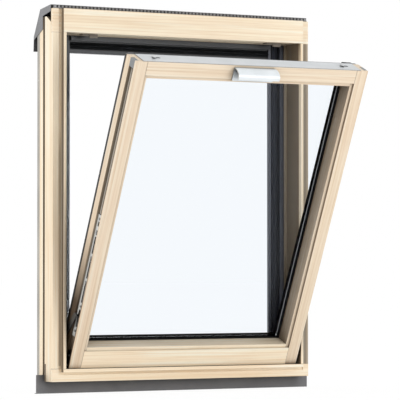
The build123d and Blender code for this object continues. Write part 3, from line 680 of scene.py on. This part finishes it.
# Dark sheets that stand in for the rails' slots: painted shade
SLOT_SHADOW_BLACK = CoatFinish("slot_shadow", (46, 46, 47), roughness=0.7, specular=0.1)
DARK_STEEL = BrushedFinish("dark_steel", (92, 93, 94), along=Z)
STRIP_METAL = BrushedFinish("strip_aluminium", (214, 217, 219))
HANDLE_METAL = BrushedFinish(
    "handle_aluminium", (234, 239, 242), roughness=0.38, metallic=0.5, relief=0.08,
    corner_reach=0.03, corner_power=2.2,
)
FLOAT_GLASS = GlassFinish()
FRAME_PINE = PineFinish()
# Darker copy of the frame pine: painted shade on the leaning sash
SHADED_SASH_PINE = PineFinish(
    sapwood=(240, 223, 199), latewood=(215, 188, 155), heartwood=(236, 217, 191),
    blush=(231, 204, 178), pale=(246, 236, 217),
)


@dataclass
class Part:
    """A sub-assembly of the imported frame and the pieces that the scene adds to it."""

    nodes: dict[str, bpy.types.Object]

    def dress(self, material: bpy.types.Material, *names: str) -> None:
        """Give one material to CAD nodes.

        Args:
            material: The finish.
            *names: The nodes' names.
        """
        for name in names:
            slots = self.nodes[name].data.materials
            slots.clear()
            slots.append(material)
            LOG.info("dressed %s with %s", name, material.name)


@dataclass
class TimberFrame(Part):
    """Fixed frame of the window: jambs, head and sill.

    A shade power is how fast the painted shade in a timber's corners deepens.
    """

    upright_seed: float = 11.0
    level_seed: float = 21.0
    upright_shade: float = 1.5
    head_shade: float = 1.0
    # The sill takes far less painted shade than the head and the jambs
    sill_shade: float = 0.12
    # Painted shade on the outer side of the bead
    bead_side_shade: Mark = Mark(0.88, across=(0.3638, 0.3674), depth=(-0.0484, -0.0372), soft=0.0008)
    # Back edges of the head board and of the sill's front, where they lap the jambs
    head_mark: Mark = Mark(0.45, depth=(-0.0262, -0.0250), height=(0.8934, 0.9540))
    sill_mark: Mark = Mark(0.45, depth=(-0.0262, -0.0250), height=(0.0, 0.0325))
    jamb_joints_and_shades: tuple[Mark, ...] = (
        # Joints of the jambs with the sill and with the head
        Mark(0.80, depth=(-0.0500, -0.0255), height=(0.0310, 0.0334)),
        Mark(0.50, depth=(-0.0500, -0.0255), height=(0.8926, 0.8942)),
        # Painted shade on the outer edge at the foot, in front of the collar's groove
        Mark(0.85, across=(0.3890, 0.3910), depth=(0.0000, 0.0070), height=(0.0, 0.0450)),
        # Painted shade on the lower stretch of the lining groove: its outer wall and its floor
        Mark(0.80, across=(0.3710, 0.3752), depth=(-0.0350, -0.0300), height=(0.04, 0.66),
             soft=0.0008, fade=0.08),
        Mark(0.45, across=(0.3640, 0.3760), depth=(-0.0335, -0.0300), height=(0.04, 0.66),
             soft=0.0010, fade=0.08),
    )
    right_jamb_shades: tuple[Mark, ...] = (
        # Painted shadow of the sash on the face beside the bead, darker towards the bead
        Mark(0.97, across=(0.3650, 0.3845), depth=(-0.0364, -0.0345), soft=0.0012),
        Mark(0.80, across=(0.3650, 0.3895), depth=(-0.0364, -0.0345), soft=0.0012),
        # Painted shade on the inner side, as far as the rebate
        Mark(0.87, across=(0.3560, 0.3590), depth=(-0.0390, 0.0210), soft=0.0009),
    )
    lifts: tuple[Mark, ...] = (
        # Places where the painted corner shade is cut back, so they paint lighter: the floor of
        # the lining groove, and the face beside the bead
        Mark(0.90, depth=(-0.0332, -0.0300)),
        Mark(0.80, depth=(-0.0362, -0.0348)),
    )

    def build(self) -> None:
        """Dress each timber with its own figure."""
        left_marks = (self.bead_side_shade, self.head_mark, self.sill_mark, *self.jamb_joints_and_shades)
        jambs = (("left_jamb", left_marks), ("right_jamb", left_marks + self.right_jamb_shades))
        for number, (name, marks) in enumerate(jambs):
            wood = FRAME_PINE.material(
                GrainAxis.UPRIGHT, self.upright_seed + number, self.upright_shade, marks,
                self.lifts,
            )
            self.dress(wood, name)
        rails = (
            ("head_rail", self.head_shade, self.head_mark),
            ("sill_rail", self.sill_shade, self.sill_mark),
        )
        for number, (name, shade, mark) in enumerate(rails):
            wood = FRAME_PINE.material(
                GrainAxis.LEVEL, self.level_seed + number, shade, (self.bead_side_shade, mark),
                self.lifts,
            )
            self.dress(wood, name)


@dataclass
class OutdoorMetal(Part):
    """Sheet covers, hood, flashing and the comb under the hood."""

    def build(self) -> None:
        """Dress the sheet metal and the comb."""
        self.dress(SHEET_COAT.material(), "sill_cladding", "sill_flashing")
        self.dress(LIT_SIDE_COAT.material(), "left_cladding", "right_cladding")
        self.dress(LIT_HOOD_COAT.material(), "head_hood")
        self.dress(COMB_PLASTIC.material(), "insect_comb")


@dataclass
class StopProfiles(Part):
    """Dark profiles that the closed sash meets, and their seals."""

    def build(self) -> None:
        """Dress the profiles and seals."""
        self.dress(DARK_COAT.material(), "head_stop", "sill_stop", "left_stop")
        self.dress(LIT_STOP_COAT.material(), "right_stop")
        self.dress(BLACK_RUBBER.material(), "head_seal", "sill_seal")
        self.dress(LIT_GREY_RUBBER.material(), "left_seal", "right_seal")


@dataclass
class Sash(Part):
    """Leaning sash: timber, covers, glass unit and gaskets.

    A shade power is how fast the painted shade in a timber's corners deepens.
    """

    stile_seed: float = 31.0
    rail_seed: float = 41.0
    left_shade: float = 1.1
    # The right stile takes deeper painted shade than the left
    right_shade: float = 1.8
    rail_shade: float = 0.6
    stile_lines_and_shades: tuple[Mark, ...] = (
        # Dark line at the inner strip's edge, and painted shade of a slot along the outer
        # groove's floor
        Mark(0.62, across=(0.3112, 0.3124), depth=(-0.0240, -0.0186)),
        Mark(0.70, across=(0.3350, 0.3362), depth=(-0.0079, -0.0063)),
        # Painted shade on the lower stretch of the outer side
        Mark(0.97, across=(0.3380, 0.3470), depth=(-0.0215, 0.0280), height=(0.0, 0.42),
             soft=0.0010, fade=0.20),
    )
    # Joints of the rails with the stiles, and a dark line along the bottom rail's inner strip
    rail_mark: Mark = Mark(0.50, across=(0.3110, 0.3126), depth=(-0.0240, -0.0180))
    strip_mark: Mark = Mark(0.25, depth=(-0.0240, -0.0186), height=(0.0942, 0.0952))

    def build(self) -> None:
        """Dress the sash."""
        self.dress_timber()
        self.dress(COVER_COAT.material(), *(f"sash_{edge}_cover" for edge in SASH_EDGES))
        self.dress(BLACK_RUBBER.material(), *(f"{edge}_gasket" for edge in SASH_EDGES))
        self.dress(FLOAT_GLASS.material(), "inner_pane", "outer_pane")
        self.dress(SPACER_METAL.material(), "glass_spacer")
        self.dress(EDGE_SEAL.material(), "glass_edge_seal")

    def dress_timber(self) -> None:
        """Dress the stiles and rails, each with its own figure."""
        stiles = (("sash_left_stile", self.left_shade), ("sash_right_stile", self.right_shade))
        for number, (name, shade) in enumerate(stiles):
            wood = SHADED_SASH_PINE.material(
                GrainAxis.LEANING, self.stile_seed + number, shade, self.stile_lines_and_shades
            )
            self.dress(wood, name)
        rails = (
            ("sash_top_rail", SHADED_SASH_PINE, (self.rail_mark,)),
            # The bottom rail takes the lighter frame pine: painted light on it
            ("sash_bottom_rail", FRAME_PINE, (self.rail_mark, self.strip_mark)),
        )
        for number, (name, pine, marks) in enumerate(rails):
            wood = pine.material(
                GrainAxis.LEVEL_LEANING, self.rail_seed + number, self.rail_shade, marks
            )
            self.dress(wood, name)


@dataclass
class Hardware(Part):
    """Hinges, stays, lock gear and handle."""

    def build(self) -> None:
        """Dress the metal fittings and the caps."""
        self.dress(ZINC_PLATE.material(), "left_stay_rail", "right_stay_rail", "handle_pin")
        self.dress(
            DARK_STEEL.material(), "left_hinge_bracket", "right_hinge_bracket",
            "left_stay_bracket", "right_stay_bracket", "left_stay_arm", "right_stay_arm",
            "sash_left_hinge", "sash_right_hinge",
        )
        self.dress(KEEP_COAT.material(), "lock_keeps")
        self.dress(CAP_PLASTIC.material(), "left_corner_cap", "right_corner_cap")
        self.dress(STRIP_METAL.material(), "lock_strip")
        self.dress(CAM_COAT.material(), "lock_bar")
        self.dress(HANDLE_METAL.material(), "handle", "handle_base")


def shells(name: str, rings: np.ndarray) -> bpy.types.Object:
    """Make closed shells from stacked rings of points.

    Neighbouring rings are joined by quads, and the first and last ring of each shell are
    closed by one flat face. The faces are then turned outwards.

    Args:
        name: Name of the piece.
        rings: Points of shape (shells, rings, points of a ring, 3), in metres.

    Returns:
        The piece, at the origin.
    """
    count, rows, points, _ = rings.shape
    numbers = np.arange(count * rows * points).reshape(count, rows, points)
    ahead = np.roll(numbers, -1, axis=2)
    quads = np.stack(
        [numbers[:, :-1], ahead[:, :-1], ahead[:, 1:], numbers[:, 1:]], axis=-1
    ).reshape(-1, 4)
    caps = np.concatenate([numbers[:, 0, ::-1], numbers[:, -1]])
    mesh = bpy.data.meshes.new(name)
    mesh.from_pydata(rings.reshape(-1, 3).tolist(), [], quads.tolist() + caps.tolist())
    shape = bmesh.new()
    shape.from_mesh(mesh)
    bmesh.ops.recalc_face_normals(shape, faces=shape.faces)
    shape.to_mesh(mesh)
    shape.free()
    piece = bpy.data.objects.new(name, mesh)
    bpy.context.scene.collection.objects.link(piece)
    return piece


def leaned(points: np.ndarray) -> np.ndarray:
    """Carry points from the leaning sash's axes into the frame: a turn by the lean about X.

    Args:
        points: Points with a last axis of X, depth and height, in metres.

    Returns:
        Points of the same shape.
    """
    turn = np.array([
        [1.0, 0.0, 0.0],
        [0.0, math.cos(LEAN), -math.sin(LEAN)],
        [0.0, math.sin(LEAN), math.cos(LEAN)],
    ])
    return points @ turn.T


def joined(across: np.ndarray, deep: np.ndarray | float, high: np.ndarray) -> np.ndarray:
    """Return points from places along X, depths and heights that broadcast to one shape."""
    return np.stack(np.broadcast_arrays(across, deep, high), axis=-1)


def pairs(*columns: Sequence[float]) -> np.ndarray:
    """Return every combination of the columns' values as rows."""
    return np.stack(np.meshgrid(*columns, indexing="ij"), axis=-1).reshape(-1, len(columns))


def circle(points: int) -> np.ndarray:
    """Return even angles once round, in radians."""
    return np.linspace(0.0, 2.0 * np.pi, points, endpoint=False)


@dataclass(frozen=True)
class ScrewHead:
    """Low screw or rivet head with a round recess. Lengths in metres.

    The profile runs from below the seat over the rim to the recess, in shares of the radius
    and of the height. Its last point sinks by the recess.
    """

    radius: float = 0.0032
    height: float = 0.0011
    recess: float = 0.0007
    points: int = 24
    profile: tuple[Span, ...] = (
        (1.0, -0.25), (1.0, 0.4), (0.90, 0.85), (0.62, 1.0), (0.46, 1.0), (0.38, 1.0),
    )

    def rings(self, centres: np.ndarray, axes: np.ndarray) -> np.ndarray:
        """Return the heads' rings.

        Formula: centre + r (cos a, sin a) across the axis + h along it, with a running round
        and (r, h) along the profile.

        Args:
            centres: Seats of the heads, of shape (heads, 3).
            axes: Unit directions in which they stand out, of shape (heads, 3).

        Returns:
            Points of shape (heads, rings, points, 3).
        """
        reach, rise = np.array(self.profile).T * [[self.radius], [self.height]]
        rise[-1] -= self.recess
        angle = circle(self.points)[None, :, None]
        first = np.cross(axes, np.roll(axes, 1, axis=1))
        second = np.cross(axes, first)
        rounds = np.cos(angle) * first[:, None] + np.sin(angle) * second[:, None]
        spread = reach[None, :, None, None] * rounds[:, None]
        lift = rise[None, :, None, None] * axes[:, None, None]
        return centres[:, None, None] + spread + lift


@dataclass
class SmallFittings(Part):
    """Screws, rivets, dark slots, tracks, painted highlight strips and corner keys. Lengths in
    metres.

    Places on the sash are in its leaning axes: X, depth and height. The keys and the painted
    highlight strips lie in the last half millimetre of the inner pane.
    """

    head: ScrewHead = ScrewHead()
    rail_depth: float = -0.0063
    rivet_heights: tuple[float, ...] = (0.146, 0.214, 0.282, 0.350, 0.418, 0.456)
    leaf_heights: tuple[float, ...] = (0.050, 0.076)
    cladding_heights: tuple[float, ...] = (0.08, 0.32, 0.56, 0.80)
    slot_heights: tuple[float, ...] = (0.180, 0.248, 0.316, 0.384)
    slot_half: float = 0.021
    slot_radius: float = 0.0026
    slot_rise: float = 0.0002
    slot_points: int = 24
    track_floor: float = 0.3390
    track_span: Span = (0.470, 0.860)
    track_profile: tuple[Span, ...] = (
        (0.0, -0.0150), (0.0010, -0.0150), (0.0010, -0.0096), (0.0034, -0.0090),
        (0.0034, -0.0036), (0.0010, -0.0030), (0.0010, 0.0024), (0.0, 0.0024),
    )
    key_across: Span = (0.2936, 0.2980)
    key_heights: Span = (0.1090, 0.8310)
    key_rise: float = 0.0044
    key_depth: Span = (0.02620, 0.02664)
    # Strips of painted highlight beside the spacer
    highlight_across: Span = (0.2951, 0.2982)
    highlight_depth: Span = (0.02630, 0.02664)
    highlight_span: Span = (0.1140, 0.8305)

    def build(self) -> None:
        """Build every small fitting and let it ride on its body."""
        self.side_heads("stay_rail_rivets", "right_stay_rail", self.rivet_heights)
        self.side_heads("hinge_screws", "sash_right_hinge", self.leaf_heights)
        self.cladding_screws()
        self.rail_slots()
        self.tracks()
        self.corner_keys()
        self.spacer_highlight_strips()

    def place(self, piece: bpy.types.Object, finish: CoatFinish, body: str) -> None:
        """Give a piece its finish and its body.

        Args:
            piece: The piece.
            finish: Its finish.
            body: Name of the body it rides on.
        """
        piece.data.materials.append(finish.material())
        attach(piece, body)
        LOG.info("built %s with %d faces on %s", piece.name, len(piece.data.polygons), body)

    def extent(self, name: str, axis: int) -> Span:
        """Return the ends of a CAD node along an axis of the frame.

        Args:
            name: The node's name.
            axis: Number of the axis.

        Returns:
            Its lowest and highest place, in metres.
        """
        mesh = self.nodes[name].data
        places = np.empty(3 * len(mesh.vertices), dtype=np.float32)
        mesh.vertices.foreach_get("co", places)
        line = places[axis::3]
        return float(line.min()), float(line.max())

    def side_heads(self, name: str, plate: str, heights: Sequence[float]) -> None:
        """Put heads on both sides of the sash, standing out along X.

        Args:
            name: Name of the piece.
            plate: Right-hand CAD node that they sit on.
            heights: Heights of the heads along the sash.
        """
        _, face = self.extent(plate, X)
        seats = pairs(SIDES, heights)
        centres = joined(seats[:, 0] * face, self.rail_depth, seats[:, 1])
        axes = seats[:, :1] * np.array([1.0, 0.0, 0.0])
        self.place(shells(name, leaned(self.head.rings(centres, axes))), HEAD_STEEL, "sash")

    def cladding_screws(self) -> None:
        """Put heads on the side claddings, standing out to the outdoors."""
        middle = sum(self.extent("right_cladding", X)) / 2.0
        _, face = self.extent("right_cladding", Y)
        centres = pairs((-middle, middle), (face,), self.cladding_heights)
        axes = np.tile([0.0, 1.0, 0.0], (len(centres), 1))
        rings = self.head.rings(centres, axes)
        self.place(shells("cladding_screws", rings), HEAD_STEEL, "frame")

    def rail_slots(self) -> None:
        """Lay dark sheets on the stay rails as the slots, painted shade in place of openings.

        Formula: a stadium outline, two half circles of one radius about two points on the
        rail's middle line, raised by a hair from the rail's face.
        """
        _, face = self.extent("right_stay_rail", X)
        angle = circle(self.slot_points)
        reach = np.cos(angle)
        depth = self.rail_depth + self.slot_radius * np.sin(angle)
        rise = self.slot_radius * reach + np.where(reach >= 0.0, 1.0, -1.0) * self.slot_half
        side, height = pairs(SIDES, self.slot_heights).T[:, :, None, None]
        levels = np.array([[face - self.slot_rise], [face + self.slot_rise]])
        rings = joined(side * levels, depth, height + rise)
        self.place(shells("stay_rail_slots", leaned(rings)), SLOT_SHADOW_BLACK, "sash")

    def tracks(self) -> None:
        """Build the folded tracks in the stiles' grooves: a hat profile drawn up the sash."""
        proud, depth = np.array(self.track_profile).T
        sides = np.array(SIDES)[:, None, None]
        heights = np.array(self.track_span)[:, None]
        rings = joined(sides * (self.track_floor + proud), depth, heights)
        self.place(shells("stile_tracks", leaned(rings)), TRACK_COAT, "sash")

    def corner_keys(self) -> None:
        """Build the corner keys, four small near-white blocks that show in the glass as a bright
        dot, partly a painted highlight.
        """
        near, far = self.key_across
        outline = np.array([near, far, far, near])
        rise = np.array([0.0, 0.0, self.key_rise, self.key_rise])
        side, height = pairs(SIDES, self.key_heights).T[:, :, None, None]
        rings = joined(side * outline, np.array(self.key_depth)[:, None], height + rise)
        self.place(shells("corner_keys", leaned(rings)), KEY_METAL_GLINT, "sash")

    def spacer_highlight_strips(self) -> None:
        """Build strips of painted highlight beside the spacer that show in the glass: a thin box
        up each side.
        """
        (near, far), (front, back) = self.highlight_across, self.highlight_depth
        outline = np.array([near, far, far, near])
        depth = np.array([front, front, back, back])
        sides = np.array(SIDES)[:, None, None]
        rings = joined(sides * outline, depth, np.array(self.highlight_span)[:, None])
        self.place(shells("spacer_highlight_strips", leaned(rings)), SPACER_HIGHLIGHT, "sash")


@dataclass(frozen=True)
class Lamp:
    """Square soft lamp. Lengths in metres, power in watts."""

    name: str
    place: tuple[float, float, float]
    size: float
    power: float

    def hang(self, aim: Sequence[float]) -> None:
        """Hang the lamp so that it looks at a point.

        Args:
            aim: The point, in metres.
        """
        lamp = bpy.data.lights.new(self.name, "AREA")
        lamp.size = self.size
        lamp.energy = self.power
        stand = bpy.data.objects.new(self.name, lamp)
        stand.location = self.place
        look = Vector(aim) - stand.location
        stand.rotation_euler = look.to_track_quat("-Z", "Y").to_euler()
        bpy.context.scene.collection.objects.link(stand)


@dataclass
class Studio:
    """Floor, light and camera. Lengths in metres, the lens and its sensor in millimetres."""

    camera_place: tuple[float, float, float] = (-3.786, -6.3435, 0.298)
    heading: float = math.radians(31.3)
    pitch: float = math.radians(1.3265)
    lens: float = 252.63
    sensor: float = 36.0
    sight: float = 200.0
    lamps: tuple[Lamp, ...] = (
        Lamp("front_lamp", (1.4, -4.6, 0.5), 1.6, 56.0),
        Lamp("side_lamp", (-4.8, -0.05, 1.0), 0.6, 40.0),
    )
    window_middle: tuple[float, float, float] = (0.0, -0.1, 0.48)
    ambient: float = 0.80
    floor_level: float = -0.0315
    floor_half: float = 40.0
    floor_colour: Colour = (246, 246, 246)
    floor_glow: float = 1.03
    glow_share: float = 0.9

    def build(self) -> None:
        """Build the floor, the light and the camera."""
        self.build_floor()
        self.build_world()
        for lamp in self.lamps:
            lamp.hang(self.window_middle)
        self.build_camera()

    def build_floor(self) -> None:
        """Build a pale floor that shows the object's shadow faintly."""
        half, level = self.floor_half, self.floor_level
        mesh = bpy.data.meshes.new("studio_floor")
        corners = np.array([(-half, -half), (half, -half), (half, half), (-half, half)])
        points = np.column_stack([corners, np.full(len(corners), level)])
        mesh.from_pydata(points.tolist(), [], [(0, 1, 2, 3)])
        floor = bpy.data.objects.new("studio_floor", mesh)
        floor.visible_shadow = False
        bpy.context.scene.collection.objects.link(floor)
        material, graph = new_graph("pale_floor")
        diffuse = graph.add("BsdfDiffuse", {"Color": linear(*self.floor_colour)})
        glow = graph.add("Emission", {"Color": WHITE, "Strength": self.floor_glow})
        share = graph.math("MULTIPLY", graph.seen(), self.glow_share)
        mixed = graph.add("MixShader", {0: share, 1: diffuse.outputs[0], 2: glow.outputs[0]})
        graph.add("OutputMaterial", {"Surface": mixed.outputs[0]})
        mesh.materials.append(material)

    def build_world(self) -> None:
        """Build the sky: white to the eye, softer as a light."""
        world = bpy.data.worlds.new("studio_world")
        world.use_nodes = True
        graph = Graph(world.node_tree)
        graph.tree.nodes.clear()
        strength = graph.span(graph.seen(), self.ambient, 1.0)
        sky = graph.add("Background", {"Color": WHITE, "Strength": strength})
        graph.add("OutputWorld", {"Surface": sky.outputs[0]})
        bpy.context.scene.world = world

    def build_camera(self) -> None:
        """Build the camera at the photograph's place."""
        lens = bpy.data.cameras.new("camera")
        lens.lens = self.lens
        lens.sensor_width = self.sensor
        lens.clip_end = self.sight
        camera = bpy.data.objects.new("camera", lens)
        camera.location = self.camera_place
        camera.rotation_euler = Euler((math.pi / 2 + self.pitch, 0.0, -self.heading))
        bpy.context.scene.collection.objects.link(camera)
        bpy.context.scene.camera = camera
        bpy.context.scene.view_settings.view_transform = "Standard"


def main() -> None:
    """Build the scene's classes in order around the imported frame."""
    logging.basicConfig(level=logging.INFO, format="%(name)s: %(message)s")
    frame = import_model()
    nodes = frame["nodes"]
    for part in (TimberFrame, OutdoorMetal, StopProfiles, Sash, Hardware, SmallFittings):
        part(nodes).build()
    Studio().build()


if __name__ == "__main__":
    main()
